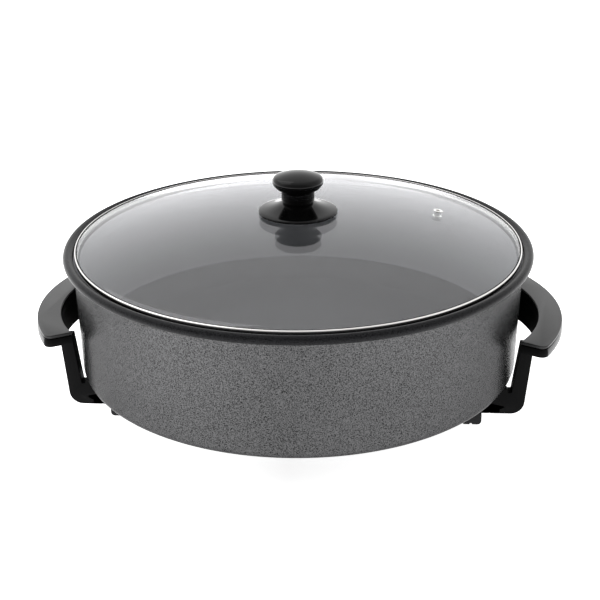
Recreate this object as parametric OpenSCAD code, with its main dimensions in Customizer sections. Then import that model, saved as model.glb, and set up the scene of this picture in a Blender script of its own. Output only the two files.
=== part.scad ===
/* [Pan] */
// Outside diameter of the rim
rim_d = 420; // [340:2:520]
// Height of the pan from its underside to the top of the rim
pan_h = 113.3; // [70:1:160]
// Height of the pan's underside above the table
pan_lift = 35.5; // [32:0.5:60]
// How far the rim stands out past the wall
rim_overhang = 8.7; // [8:0.1:14]
// Height of the rim's rolled bead
rim_h = 7.9; // [6.5:0.1:8.5]
// How much smaller the wall's radius is at the bottom than at the top
wall_taper = 1.9; // [0:0.1:10]
// Thickness of the pan's metal
metal_t = 3; // [2:0.1:5]
// Radius of the outside bottom corner
corner_r = 8; // [4:0.5:14]
// Radius between the cooking floor and the wall
floor_fillet_r = 24; // [6:1:34]

/* [Lid] */
// Thickness of the glass
glass_t = 4; // [3:0.5:6]
// Height of the dome above the glass edge
dome_rise = 25.8; // [12:0.1:60]
// Thickness of the steel band's sheet
band_t = 0.5; // [0.4:0.1:1]
// Gap between the lid band and the pan's recess
lid_gap = 1.4; // [0.8:0.1:3]
// Gap under the band where it stands over the pan's ledge
ledge_gap = 0.3; // [0.3:0.1:1]
// Distance of the steam vent from the lid's centre
vent_out = 133; // [80:1:150]
// Direction of the steam vent
vent_angle = 17.5; // [0:0.5:360]
// Radius of the steam vent's hole
vent_hole_r = 2.2; // [1.5:0.1:3]

/* [Knob] */
// Diameter of the knob's cap
cap_d = 45.6; // [36:0.2:60]
// Diameter of the knob's neck
neck_d = 29.6; // [22:0.2:34]
// Height from the top of the glass to the top of the knob
knob_h = 37; // [32:0.5:60]
// Diameter of the round skirt under the knob
skirt_d = 71; // [56:1:90]
// Thread radius of the knob screw
knob_thread_r = 2.5; // [2:0.5:3]

/* [Grips] */
// Width of the grip's flat top at its middle
grip_w = 21; // [16:0.5:30]
// Finger room between the wall and the grip at its middle
finger_gap = 17.7; // [14:0.5:30]
// Half length of the grip, to its inner tips
grip_reach = 70; // [60:1:90]
// Height of the grip's top face above the pan's underside
grip_rise = 49; // [40:1:80]
// Radius of the grip's outer curve
grip_outer_r = 156.5; // [130:0.5:220]
// Radius of the grip's inner curve
grip_inner_r = 121.1; // [100:0.5:180]
// Height of the grip's outer lip
lip_h = 10.5; // [8:0.5:16]
// Depth of the grip's inner heat skirt
heat_skirt_h = 33; // [16:1:38]

/* [Legs] */
// Distance from the middle line to the outer face of a leg
leg_face = 66; // [50:1:72]
// Thickness of a leg
leg_t = 12; // [10:0.5:16]
// Width of a leg's upright
upright_w = 14; // [10:0.5:20]
// How far a leg leans outward over its height
leg_lean = 5; // [0:0.5:10]
// Height of the foot pads
pad_h = 11; // [6:0.5:14]
// Length of the foot pads
pad_l = 34; // [20:1:44]

/* [Heater] */
// Mean radius of the element's ring
ring_r = 118; // [90:1:130]
// Radius of the element's tube
tube_r = 4; // [3:0.1:4.5]
// Half the distance between the two contact pins
pin_half = 20; // [15:0.5:24]
// Radius of the contact pins
pin_r = 2.4; // [2:0.1:3]
// Radius of the probe sleeve's bore
probe_r = 3.2; // [2.5:0.1:3.5]

/* [Hidden] */
$fn = 96;
fit = 0.05;
far = 600;

// Pan
rim_r = rim_d / 2;
wall_top_r = rim_r - rim_overhang;
wall_foot_r = wall_top_r - wall_taper;
rim_top = pan_lift + pan_h;
rim_under = rim_top - rim_h;
rim_bead_r = rim_h / 2;
rim_bead_x = rim_r - rim_bead_r;
rim_edge_z = rim_under + rim_bead_r;
rim_slope = 30;
slope_x = rim_bead_x - rim_bead_r * sin(rim_slope);
slope_z = rim_edge_z + rim_bead_r * cos(rim_slope);
recess_r = wall_top_r;
recess_edge_z = slope_z - (slope_x - recess_r) * tan(rim_slope);
recess_bevel = 0.7;
floor_z = pan_lift + metal_t;

// Lid
band_r = recess_r - lid_gap;
glass_r = band_r - band_t - 0.8;
band_top = rim_top + 0.7;
edge_top = band_top - band_t;
apex = edge_top + dome_rise;
dome_r = (glass_r * glass_r + dome_rise * dome_rise) / (2 * dome_rise);
band_foot = edge_top - glass_t - 0.1 - band_t;
ledge_z = band_foot - ledge_gap;
band_skirt_r = wall_top_r - metal_t - 1.6;
band_skirt_h = 4.5;
vent_tilt = asin(vent_out / dome_r);
vent_wall = 0.8;
vent_lip = 1.5;

// Knob
gasket_t = 1.2;
hub_r = 12;
hub_bore_r = knob_thread_r + 0.4;
gasket_r = 9;
lower_gasket_t = 1.6;
washer_t = 1.2;
head_t = 3.3;
skirt_r = skirt_d / 2;
skirt_gap = 0.9;
skirt_edge_z = apex - dome_r + sqrt(dome_r * dome_r - skirt_r * skirt_r) + skirt_gap;
skirt_edge_h = 2.6;
neck_r = neck_d / 2;
neck_z = apex + 9;
cap_r = cap_d / 2;
knob_top = apex + knob_h;
cap_under_z = neck_z + (knob_top - neck_z) * 0.42;
cap_mid_z = neck_z + (knob_top - neck_z) * 0.7;
cap_rise = knob_top - cap_mid_z;
cap_edge_r = 5;
cap_edge_x = cap_r - cap_edge_r;
cap_crown_r = (cap_edge_x * cap_edge_x + cap_rise * cap_rise - cap_edge_r * cap_edge_r)
            / (2 * (cap_rise - cap_edge_r));
cap_crown_x = cap_edge_x * cap_crown_r / (cap_crown_r - cap_edge_r);
insert_r = knob_thread_r + 1.5;
insert_h = 14;

// Grips, right side; the left side is its mirror image
grip_top = pan_lift + grip_rise;
grip_in_x = wall_top_r + finger_gap;
grip_out_x = grip_in_x + grip_w;
outer_cx = grip_out_x - grip_outer_r;
inner_cx = grip_in_x - grip_inner_r;
tip = [inner_cx + sqrt(grip_inner_r * grip_inner_r - grip_reach * grip_reach), grip_reach];
end_slope = 29;
end_round = 6.5;
cover_t = 3.4;
shadow_h = 1.2;
shadow_in = 1.5;
grip_plate_t = 3;
cover_z = grip_top - cover_t;
grip_plate_z = cover_z - grip_plate_t;
lip_z = grip_top - lip_h;
lip_t = 3;
heat_skirt_z = grip_top - heat_skirt_h;
heat_skirt_t = 4;
heat_skirt_r = grip_inner_r + 0.3;

// Legs
leg_y = leg_face - leg_t / 2;
leg_wall_r = wall_top_r + 0.8;
leg_foot_x = sqrt(wall_foot_r * wall_foot_r - leg_face * leg_face) + 1.8;
leg_top_z = grip_plate_z;
tab_t = 5;
bar_in_x = ring_r + 10;
heel_r = 14;
toe_r = 4;
stud_x = leg_foot_x - 16;
stud_r = 2.5;
nut_pocket_r = 6;
nut_pocket_z = pad_h + 8;
nut_t = 4;
nut_flats_r = 4.6;
pad_out_x = stud_x - nut_pocket_r - 1;
pad_w = leg_t + 4;
pad_peg_r = 3;
pad_peg_h = 6;
tab_screw_x = leg_foot_x + upright_w + leg_lean + 5;
tab_out_x = tab_screw_x + 6;
screw_r = 2;
small_screw_r = 1.5;
cover_screw_y = 32;
cover_screw_x = grip_in_x + grip_w * 0.5 - 2;

// Heater
tube_z = pan_lift - tube_r - 3;
lead_bend_r = 14;
spreader_half_w = 14;
bead_r = tube_r + 1.5;
bead_x = 148;
bead_l = 8;
pin_l = 26;
sleeve_t = 0.8;
sleeve_in_x = ring_r - 22;
shroud_x = bead_x + 4;
shroud_out_x = sqrt(pow(wall_foot_r - corner_r, 2) - 32 * 32) - 1;
shroud_half_w = pin_half + 11.5;
shroud_t = 1;
shroud_foot = tube_z - 7.5;
flange_w = 10;
flange_l = 18;
flange_x = shroud_x + 14;
inlet_stud_r = 1.5;
inlet_stud_y = shroud_half_w + shroud_t + flange_w / 2;

function arc(c, r, from, to, steps) =
    [for (i = [0 : steps]) let (a = from + (to - from) * i / steps) [c[0] + r * cos(a), c[1] + r * sin(a)]];

// Centre of the round at a grip's end: it touches the slanted end and the outer curve from inside
function end_centre(inset) =
    let (dir = [cos(end_slope), sin(end_slope)],
         inward = [sin(end_slope), -cos(end_slope)],
         start = tip - [outer_cx, 0] + inward * (end_round + inset),
         reach = grip_outer_r - inset - end_round,
         b = start * dir,
         s = -b + sqrt(b * b - start * start + reach * reach))
    start + dir * s + [outer_cx, 0];

module grip_outline(inset) {
    round_c = end_centre(inset);
    outer_a = atan2(round_c[1], round_c[0] - outer_cx);
    inner_r = grip_inner_r + inset;
    inner_a = asin((grip_reach - inset * 0.4) / inner_r);
    half = concat(
        arc([outer_cx, 0], grip_outer_r - inset, 0, outer_a, 16),
        arc(round_c, end_round, outer_a + 8, 90 + end_slope, 8),
        arc([inner_cx, 0], inner_r, inner_a, 0, 16));
    polygon(half);
    mirror([0, 1]) polygon(half);
}

module pan_profile() {
    difference() {
        union() {
            polygon([[0, pan_lift], [wall_foot_r - corner_r, pan_lift],
                     [wall_foot_r, pan_lift + corner_r], [wall_top_r, rim_under],
                     [wall_top_r, rim_edge_z], [0, rim_edge_z]]);
            translate([wall_foot_r - corner_r, pan_lift + corner_r]) circle(r = corner_r);
            rim_profile();
        }
        pan_cavity();
        translate([-1, ledge_z]) square([recess_r + 1, far]);
    }
}

// Rolled bead, and a top that slopes down inward from it to the lid's recess
module rim_profile() {
    translate([rim_bead_x, rim_edge_z]) circle(r = rim_bead_r);
    polygon([[recess_r - metal_t, rim_under], [rim_bead_x, rim_under], [rim_bead_x, rim_edge_z],
             [slope_x, slope_z],
             [recess_r + recess_bevel, recess_edge_z + recess_bevel * tan(rim_slope)],
             [recess_r, recess_edge_z - recess_bevel],
             [recess_r - metal_t, recess_edge_z - recess_bevel]]);
}

module pan_cavity() {
    in_foot = wall_foot_r - metal_t;
    in_top = wall_top_r - metal_t;
    polygon([[-1, floor_z], [in_foot - floor_fillet_r, floor_z],
             [in_foot, floor_z + floor_fillet_r], [in_top, rim_under],
             [in_top, rim_top], [-1, rim_top]]);
    translate([in_foot - floor_fillet_r, floor_z + floor_fillet_r]) circle(r = floor_fillet_r);
}

module pan_shell() {
    color("dimgray") rotate_extrude($fn = 180) pan_profile();
}

// The element's path: an open ring whose two ends bend out to the inlet
module element_path(r) {
    bend_a = asin((pin_half + lead_bend_r) / (ring_r + lead_bend_r));
    bend_x = (ring_r + lead_bend_r) * cos(bend_a);
    translate([0, 0, tube_z]) {
        rotate([0, 0, bend_a]) rotate_extrude(angle = 360 - 2 * bend_a, $fn = 180)
            translate([ring_r, 0]) circle(r = r, $fn = 48);
        for (side = [1, -1])
            scale_y(side) {
                translate([bend_x, -pin_half - lead_bend_r])
                    rotate([0, 0, 90]) rotate_extrude(angle = 90 - bend_a)
                        translate([lead_bend_r, 0]) circle(r = r, $fn = 48);
                translate([bend_x, -pin_half, 0]) rotate([0, 90, 0])
                    cylinder(r = r, h = bead_x - bend_x);
                // Sleeve over the point where the ring turns outward
                rotate([0, 0, -bend_a]) translate([ring_r, 0, 0]) rotate([90, 0, 0])
                    cylinder(r = r + 0.4, h = 8, center = true);
            }
    }
}

module scale_y(side) {
    if (side > 0) children();
    else mirror([0, 1, 0]) children();
}

module heating_element() {
    color("darkslategray") element_path(tube_r);
}

module heat_spreader() {
    color("silver") difference() {
        translate([0, 0, tube_z]) difference() {
            cylinder(r = ring_r + spreader_half_w, h = pan_lift - tube_z, $fn = 180);
            translate([0, 0, -1])
                cylinder(r = ring_r - spreader_half_w, h = far, $fn = 180);
        }
        element_path(tube_r + fit);
        translate([0, 0, tube_z]) rotate([0, 90, 0])
            cylinder(r = probe_r + sleeve_t + fit, h = far);
    }
}

module element_beads() {
    color("ivory") for (side = [1, -1])
        translate([bead_x, side * pin_half, tube_z]) rotate([0, 90, 0])
            cylinder(r = bead_r, h = bead_l);
}

module contact_pins() {
    color("gold") for (side = [1, -1])
        translate([bead_x + bead_l, side * pin_half, tube_z]) rotate([0, 90, 0]) {
            cylinder(r = pin_r, h = pin_l - pin_r);
            translate([0, 0, pin_l - pin_r]) cylinder(r1 = pin_r, r2 = pin_r * 0.5, h = pin_r);
        }
}

module probe_sleeve() {
    color("silver") translate([sleeve_in_x, 0, tube_z]) rotate([0, 90, 0])
        difference() {
            cylinder(r = probe_r + sleeve_t, h = shroud_x - sleeve_in_x);
            translate([0, 0, 2]) cylinder(r = probe_r, h = far);
        }
}

module inlet_shroud() {
    inner_w = 2 * shroud_half_w;
    height = pan_lift - shroud_foot;
    color("gainsboro") difference() {
        union() {
            translate([shroud_x, -shroud_half_w - shroud_t, shroud_foot])
                cube([shroud_out_x - shroud_x, inner_w + 2 * shroud_t, height]);
            translate([flange_x, -shroud_half_w - shroud_t - flange_w, pan_lift - shroud_t])
                cube([flange_l, inner_w + 2 * (shroud_t + flange_w), shroud_t]);
        }
        translate([shroud_x + shroud_t, -shroud_half_w, shroud_foot + shroud_t])
            cube([far, inner_w, height - 2 * shroud_t]);
        for (side = [1, -1]) {
            translate([shroud_x - 1, side * pin_half, tube_z]) rotate([0, 90, 0])
                cylinder(r = bead_r + fit, h = shroud_t + 2);
            translate([flange_x + flange_l / 2, side * inlet_stud_y, 0])
                cylinder(r = inlet_stud_r + 0.2, h = far);
        }
        translate([shroud_x - 1, 0, tube_z]) rotate([0, 90, 0])
            cylinder(r = probe_r, h = shroud_t + 2);
    }
}

module earth_clip() {
    color("gold") translate([shroud_x + shroud_t + 2, -6, shroud_foot + shroud_t]) {
        cube([26, 12, 0.6]);
        cube([0.6, 12, 3]);
    }
}

module inlet_studs() {
    color("silver") for (side = [1, -1])
        translate([flange_x + flange_l / 2, side * inlet_stud_y, pan_lift - 8])
            cylinder(r = inlet_stud_r, h = 8);
}

module inlet_nuts() {
    color("silver") for (side = [1, -1])
        translate([flange_x + flange_l / 2, side * inlet_stud_y, pan_lift - shroud_t - 2.4])
            hex_nut(3.1, 2.4, inlet_stud_r);
}

module hex_nut(corner, height, thread_r) {
    difference() {
        cylinder(r = corner, h = height, $fn = 6);
        translate([0, 0, -1]) cylinder(r = thread_r + fit, h = height + 2, $fn = 48);
    }
}

module at_four_legs() {
    for (x = [1, -1])
        for (y = [1, -1])
            mirror([x < 0 ? 1 : 0, 0, 0]) mirror([0, y < 0 ? 1 : 0, 0]) children();
}

module leg_studs() {
    color("silver") at_four_legs()
        translate([stud_x, leg_y, nut_pocket_z - nut_t - 2])
            cylinder(r = stud_r, h = pan_lift - nut_pocket_z + nut_t + 2);
}

module leg_nuts() {
    color("silver") at_four_legs()
        translate([stud_x, leg_y, nut_pocket_z - nut_t]) hex_nut(nut_flats_r, nut_t, stud_r);
}

// One leg seen from the front: bar under the pan, upright, and the tab that carries the grip
module leg_profile() {
    slope = leg_lean / (leg_top_z - pan_lift);
    heel_x = leg_foot_x + upright_w - heel_r - 1;
    top_in = leg_foot_x + leg_lean;
    difference() {
        union() {
            polygon([[bar_in_x, pad_h + toe_r], [bar_in_x + toe_r, pad_h], [heel_x, pad_h],
                     [heel_x + heel_r, pad_h + heel_r], [top_in + upright_w, leg_top_z],
                     [top_in, leg_top_z], [leg_foot_x, pan_lift + 2],
                     [leg_foot_x - 2, pan_lift], [bar_in_x, pan_lift]]);
            translate([bar_in_x + toe_r, pad_h + toe_r]) circle(r = toe_r);
            translate([heel_x, pad_h + heel_r]) circle(r = heel_r);
            translate([top_in, leg_top_z - tab_t]) square([tab_out_x - top_in, tab_t]);
        }
        translate([0, pan_lift]) square([leg_foot_x - 2, far]);
    }
}

module leg() {
    color("black") difference() {
        translate([0, leg_face, 0]) rotate([90, 0, 0]) linear_extrude(leg_t) leg_profile();
        translate([0, 0, pan_lift]) cylinder(r = leg_wall_r, h = far, $fn = 180);
        translate([stud_x, leg_y, 0]) cylinder(r = stud_r + 0.3, h = far);
        translate([stud_x, leg_y, 0]) cylinder(r = nut_pocket_r, h = nut_pocket_z);
        translate([tab_screw_x, leg_y, 0]) cylinder(r = screw_r + 0.2, h = far);
        translate([pad_out_x - pad_l / 2, leg_y, 0])
            cylinder(r = pad_peg_r + fit, h = pad_h + pad_peg_h + 0.5);
    }
}

module foot_pad() {
    round_r = 4;
    color("dimgray") translate([pad_out_x, leg_y - pad_w / 2, 0]) mirror([1, 0, 0]) {
        translate([0, pad_w, 0]) rotate([90, 0, 0]) linear_extrude(pad_w) union() {
            translate([round_r, 0]) square([pad_l - 2 * round_r, pad_h]);
            translate([0, round_r]) square([pad_l, pad_h - round_r]);
            translate([round_r, round_r]) circle(r = round_r);
            translate([pad_l - round_r, round_r]) circle(r = round_r);
        }
        translate([pad_l / 2, pad_w / 2, pad_h]) cylinder(r = pad_peg_r, h = pad_peg_h);
    }
}

module grip_body() {
    color("black") difference() {
        union() {
            difference() {
                translate([0, 0, lip_z]) linear_extrude(cover_z - lip_z) grip_outline(0);
                translate([0, 0, lip_z - 1]) linear_extrude(grip_plate_z - lip_z + 1)
                    grip_outline(lip_t);
            }
            heat_skirt();
        }
        leg_notches();
        for (side = [1, -1]) {
            translate([tab_screw_x, side * leg_y, 0]) cylinder(r = screw_r + fit, h = far);
            translate([cover_screw_x, side * cover_screw_y, 0])
                cylinder(r = small_screw_r + 0.2, h = far);
        }
    }
}

module heat_skirt() {
    keep_y = leg_face - leg_t - 0.5;
    translate([0, 0, heat_skirt_z]) linear_extrude(cover_z - heat_skirt_z - grip_plate_t / 2)
        intersection() {
            difference() {
                translate([inner_cx, 0]) circle(r = heat_skirt_r + heat_skirt_t, $fn = 180);
                translate([inner_cx, 0]) circle(r = heat_skirt_r, $fn = 180);
            }
            translate([inner_cx, -keep_y]) square([far, 2 * keep_y]);
        }
}

module leg_notches() {
    for (side = [1, -1])
        translate([0, side * leg_y - leg_t / 2 - 0.3, 0])
            cube([tab_out_x + 1, leg_t + 0.6, grip_plate_z]);
}

module grip_cover() {
    color("dimgray") difference() {
        union() {
            translate([0, 0, cover_z]) linear_extrude(shadow_h + 0.1) grip_outline(shadow_in);
            translate([0, 0, cover_z + shadow_h]) linear_extrude(cover_t - shadow_h)
                grip_outline(0.4);
        }
        for (side = [1, -1]) {
            translate([tab_screw_x, side * leg_y, 0])
                cylinder(r = screw_r + fit, h = grip_top - 1.2);
            translate([cover_screw_x, side * cover_screw_y, 0])
                cylinder(r = small_screw_r + fit, h = grip_top - 1.2);
        }
    }
}

module screw(r, length, head_r, head_h) {
    cylinder(r = r, h = length, $fn = 48);
    difference() {
        translate([0, 0, -head_h]) cylinder(r = head_r, h = head_h, $fn = 48);
        for (a = [0, 90])
            rotate([0, 0, a]) translate([-head_r * 0.6, -0.4, -head_h - 1])
                cube([head_r * 1.2, 0.8, head_h * 0.5 + 1]);
    }
}

module grip_screws() {
    color("silver") at_four_legs()
        translate([tab_screw_x, leg_y, leg_top_z - tab_t])
            screw(screw_r, tab_t + grip_plate_t + cover_t - 1.6, 3.6, 2.4);
}

module cover_screws() {
    color("silver") at_four_legs()
        translate([cover_screw_x, cover_screw_y, grip_plate_z])
            screw(small_screw_r, grip_plate_t + cover_t - 1.6, 2.8, 2);
}

module dome_place() {
    rotate([0, 0, vent_angle])
        translate([0, 0, apex - dome_r]) rotate([0, vent_tilt, 0]) translate([0, 0, dome_r])
            children();
}

module lid_glass() {
    color("lightblue", 0.5) difference() {
        rotate_extrude($fn = 180) intersection() {
            translate([0, apex - dome_r]) difference() {
                circle(r = dome_r, $fn = 720);
                circle(r = dome_r - glass_t, $fn = 720);
            }
            translate([hub_bore_r, edge_top - glass_t]) square([glass_r - hub_bore_r, far]);
        }
        dome_place() cylinder(r = vent_hole_r + vent_wall + 0.1, h = 4 * glass_t, center = true);
    }
}

module lid_band() {
    lip_in = glass_r - 1.1;
    color("gainsboro") rotate_extrude($fn = 180) {
        translate([lip_in, edge_top + 0.25]) square([band_r - lip_in, band_t - 0.25]);
        translate([band_r - band_t, band_foot]) square([band_t, band_top - band_foot]);
        translate([band_skirt_r, band_foot]) square([band_r - band_skirt_r, band_t]);
        translate([band_skirt_r, band_foot - band_skirt_h])
            square([band_t, band_skirt_h + band_t]);
    }
}

module vent_eyelet() {
    flange_r = vent_hole_r + vent_wall + vent_lip;
    color("gainsboro") dome_place() difference() {
        union() {
            translate([0, 0, -glass_t - 0.5]) cylinder(r = vent_hole_r + vent_wall, h = glass_t + 1);
            translate([0, 0, 0.02]) cylinder(r = flange_r, h = 0.6);
            translate([0, 0, -glass_t - 0.62]) cylinder(r = flange_r, h = 0.6);
        }
        cylinder(r = vent_hole_r, h = 6 * glass_t, center = true);
    }
}

module knob_cap() {
    color("black") difference() {
        rotate_extrude() {
            polygon([[0, neck_z], [neck_r - 0.9, neck_z], [neck_r, neck_z + 1.8],
                     [neck_r, cap_under_z], [(neck_r + cap_r) / 2, cap_under_z + 1.8],
                     [cap_r - cap_edge_r * 0.3, cap_mid_z - cap_edge_r * 0.7],
                     [cap_edge_x, cap_mid_z], [0, cap_mid_z]]);
            translate([cap_edge_x, cap_mid_z]) circle(r = cap_edge_r);
            intersection() {
                translate([0, knob_top - cap_crown_r]) circle(r = cap_crown_r, $fn = 180);
                translate([0, cap_mid_z]) square([cap_crown_x, cap_rise]);
            }
        }
        translate([0, 0, neck_z - 1]) cylinder(r = insert_r + fit, h = insert_h + 3);
    }
}

module knob_insert() {
    color("gold") translate([0, 0, neck_z]) difference() {
        cylinder(r = insert_r, h = insert_h);
        translate([0, 0, -1]) cylinder(r = knob_thread_r + fit, h = insert_h + 2);
    }
}

module knob_skirt() {
    wall = 2.5;
    hub_foot = apex + gasket_t;
    color("black") rotate_extrude() difference() {
        polygon([[hub_bore_r, hub_foot], [hub_r, hub_foot], [hub_r, neck_z - 2 * wall],
                 [skirt_r - wall, skirt_edge_z + skirt_edge_h - wall * 0.6],
                 [skirt_r - wall, skirt_edge_z], [skirt_r, skirt_edge_z],
                 [skirt_r, skirt_edge_z + skirt_edge_h - 1],
                 [skirt_r - 1.2, skirt_edge_z + skirt_edge_h],
                 [neck_r - 0.5, neck_z], [hub_bore_r, neck_z]]);
    }
}

module knob_screw() {
    under = apex - glass_t - lower_gasket_t - washer_t;
    color("silver") translate([0, 0, under])
        screw(knob_thread_r, neck_z + insert_h - 2 - under, 4.75, head_t);
}

module ring(inner, outer, height, z) {
    translate([0, 0, z]) difference() {
        cylinder(r = outer, h = height);
        translate([0, 0, -1]) cylinder(r = inner, h = height + 2);
    }
}

module knob_washer() {
    color("silver")
        ring(hub_bore_r, gasket_r - 1, washer_t, apex - glass_t - lower_gasket_t - washer_t);
}

module upper_knob_gasket() {
    color("white") ring(hub_bore_r, hub_r, gasket_t, apex);
}

module lower_knob_gasket() {
    color("white")
        ring(hub_bore_r, gasket_r, lower_gasket_t - 0.05, apex - glass_t - lower_gasket_t);
}

module left() {
    mirror([1, 0, 0]) children();
}

module front() {
    mirror([0, 1, 0]) children();
}

pan_shell();
heat_spreader();
heating_element();
element_beads();
contact_pins();
probe_sleeve();
inlet_shroud();
earth_clip();
inlet_studs();
inlet_nuts();
leg_studs();
leg_nuts();
front() leg();  // right_front_leg
leg();  // right_rear_leg
left() front() leg();  // left_front_leg
left() leg();  // left_rear_leg
front() foot_pad();  // right_front_pad
foot_pad();  // right_rear_pad
left() front() foot_pad();  // left_front_pad
left() foot_pad();  // left_rear_pad
grip_body();  // right_grip_body
left() grip_body();  // left_grip_body
grip_cover();  // right_grip_cover
left() grip_cover();  // left_grip_cover
grip_screws();
cover_screws();
lid_glass();
lid_band();
vent_eyelet();
knob_cap();
knob_skirt();
knob_insert();
knob_screw();
knob_washer();
upper_knob_gasket();
lower_knob_gasket();
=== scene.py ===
import math

import bmesh
import bpy
from mathutils import Matrix, Quaternion, Vector


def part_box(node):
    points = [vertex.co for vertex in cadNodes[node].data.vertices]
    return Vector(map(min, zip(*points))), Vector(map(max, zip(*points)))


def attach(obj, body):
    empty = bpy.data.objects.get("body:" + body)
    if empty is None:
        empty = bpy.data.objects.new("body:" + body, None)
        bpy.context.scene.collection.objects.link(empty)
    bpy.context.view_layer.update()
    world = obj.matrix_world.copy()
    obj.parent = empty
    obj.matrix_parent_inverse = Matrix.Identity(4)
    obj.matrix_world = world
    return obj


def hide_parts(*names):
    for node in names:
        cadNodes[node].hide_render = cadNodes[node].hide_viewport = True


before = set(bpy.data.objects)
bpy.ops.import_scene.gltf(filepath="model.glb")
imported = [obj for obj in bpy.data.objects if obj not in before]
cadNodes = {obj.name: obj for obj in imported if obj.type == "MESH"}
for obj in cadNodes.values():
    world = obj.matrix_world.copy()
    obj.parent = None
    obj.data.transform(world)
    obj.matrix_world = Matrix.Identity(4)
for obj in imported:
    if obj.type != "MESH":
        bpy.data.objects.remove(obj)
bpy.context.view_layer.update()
mm = 0.001  # sizes below are millimetres, meshes are metres
weld = 0.002 * mm  # points nearer than this become one
print("frame loaded:", len(cadNodes), "parts")


class Wire:  # a socket's value on its way through a tree, which adds Math nodes as it is used
    def __init__(self, graph, node, output=0):
        self.graph, self.node, self.socket = graph, node, node.outputs[output]

    def out(self, output):
        return Wire(self.graph, self.node, output)

    def math(self, operation, first, second=0.0):
        return self.graph.node("ShaderNodeMath", {"operation": operation}, {0: first, 1: second})

    def __add__(self, other):
        return self.math("ADD", self, other)

    def __radd__(self, other):
        return self.math("ADD", other, self)

    def __sub__(self, other):
        return self.math("SUBTRACT", self, other)

    def __rsub__(self, other):
        return self.math("SUBTRACT", other, self)

    def __mul__(self, other):
        return self.math("MULTIPLY", self, other)

    def __rmul__(self, other):
        return self.math("MULTIPLY", other, self)

    def __truediv__(self, other):
        return self.math("DIVIDE", self, other)

    def __pow__(self, other):
        return self.math("POWER", self, other)

    def floor(self):
        return self.math("FLOOR", self)

    def step(self, start, end):  # 0 before start, 1 after end, smooth between them
        kind = {"interpolation_type": "SMOOTHSTEP"}
        return self.graph.node(
            "ShaderNodeMapRange", kind, {"Value": self, "From Min": start, "From Max": end}
        )


class Graph:
    def __init__(self, tree):
        self.tree = tree

    def node(self, kind, settings=None, values=None, output=0):
        made = self.tree.nodes.new(kind)
        for name, value in (settings or {}).items():
            if name == "stops":
                ramp = made.color_ramp
                while len(ramp.elements) < len(value):
                    ramp.elements.new(0.5)
                for stop, (place, tone) in zip(ramp.elements, value):
                    stop.position, stop.color = place, tone
            else:
                setattr(made, name, value)
        for name, value in (values or {}).items():
            if isinstance(value, Wire):
                self.tree.links.new(value.socket, made.inputs[name])
            else:
                made.inputs[name].default_value = value
        return Wire(self, made, output) if made.outputs else made


def grey(level, tint=(1, 1, 1)):
    return (level * tint[0], level * tint[1], level * tint[2], 1)


def tones(graph, mask, low, high, tint=(1, 1, 1)):  # colour that goes from low to high with mask
    stops = [(0.0, grey(low, tint)), (1.0, grey(high, tint))]
    return graph.node("ShaderNodeValToRGB", {"stops": stops}, {"Fac": mask})


def newMaterial(name):
    made = bpy.data.materials.new(name)
    made.use_nodes = True
    made.node_tree.nodes.clear()
    return made, Graph(made.node_tree)


def close(graph, shader):
    graph.node("ShaderNodeOutputMaterial", {}, {"Surface": shader})


def objectPlace(graph):
    return graph.node("ShaderNodeTexCoord").out("Object")


def noise(graph, place, scale, detail=2.0, rough=0.5):
    values = {"Vector": place, "Scale": scale, "Detail": detail, "Roughness": rough}
    return graph.node("ShaderNodeTexNoise", {}, values)


def bump(graph, height, strength, distance):
    values = {"Height": height, "Strength": strength, "Distance": distance * mm}
    return graph.node("ShaderNodeBump", {}, values).out("Normal")


cool = (0.97, 0.97, 1.04)
moulding = {"cloudScale": 45, "cloudRough": 0.3, "grainRough": 0.25, "bumpDepth": 0.12}


def mouldedPlastic(name, look):  # plastic, rubber or ceramic with a fine moulded grain
    material, graph = newMaterial(name)
    place = objectPlace(graph)
    cloud = noise(graph, place, moulding["cloudScale"], 3)
    grain = noise(graph, place, look["grainScale"], 2, 0.6)
    uneven = (1 + (cloud - 0.5) * moulding["cloudRough"]
              + (grain - 0.5) * moulding["grainRough"])
    shader = graph.node("ShaderNodeBsdfPrincipled", {}, {
        "Base Color": tones(graph, cloud, look["dark"], look["light"], cool),
        "Roughness": look["rough"] * uneven,
        "Specular IOR Level": look["shine"],
        "Normal": bump(graph, grain, look["grainStrength"], moulding["bumpDepth"]),
    })
    close(graph, shader)
    return material


hammering = {"cellScale": 800, "cellBlend": 0.35, "cellEdge": (0.22, 0.46), "fineScale": 1040,
             "fineEdge": (0.43, 0.57), "wanderScale": 260, "wander": 1.4, "cloudScale": 14,
             "cloud": 0.14, "pebbleRough": 0.1, "bumpDepth": 0.25}


def hammeredPaint(name, look):  # dark specks and small pits between paler ridges
    material, graph = newMaterial(name)
    place = objectPlace(graph)
    wander = noise(graph, place, hammering["wanderScale"], 2)
    bent = graph.node("ShaderNodeVectorMath", {"operation": "SCALE"},
                      {0: wander.out("Color"), "Scale": hammering["wander"] * mm})
    spot = graph.node("ShaderNodeVectorMath", {"operation": "ADD"}, {0: place, 1: bent})
    cells = graph.node("ShaderNodeTexVoronoi", {"feature": "SMOOTH_F1"}, {
        "Vector": spot, "Scale": hammering["cellScale"], "Smoothness": hammering["cellBlend"]})
    fine = noise(graph, place, hammering["fineScale"], 2, 0.6)
    cloud = noise(graph, place, hammering["cloudScale"], 3)
    pebble = cells.step(*hammering["cellEdge"]) * 0.5 + fine.step(*hammering["fineEdge"]) * 0.5
    mask = pebble + (cloud - 0.5) * hammering["cloud"]
    shader = graph.node("ShaderNodeBsdfPrincipled", {}, {
        "Base Color": tones(graph, mask, look["dark"], look["light"], look["tint"]),
        "Metallic": look["metal"],
        "Roughness": look["rough"] + (pebble - 0.5) * hammering["pebbleRough"],
        "Specular IOR Level": look["shine"],
        "Specular Tint": grey(look["edge"]),
        "Normal": bump(graph, 1 - pebble, look["depth"], hammering["bumpDepth"]),
    })
    close(graph, shader)
    return material


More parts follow.
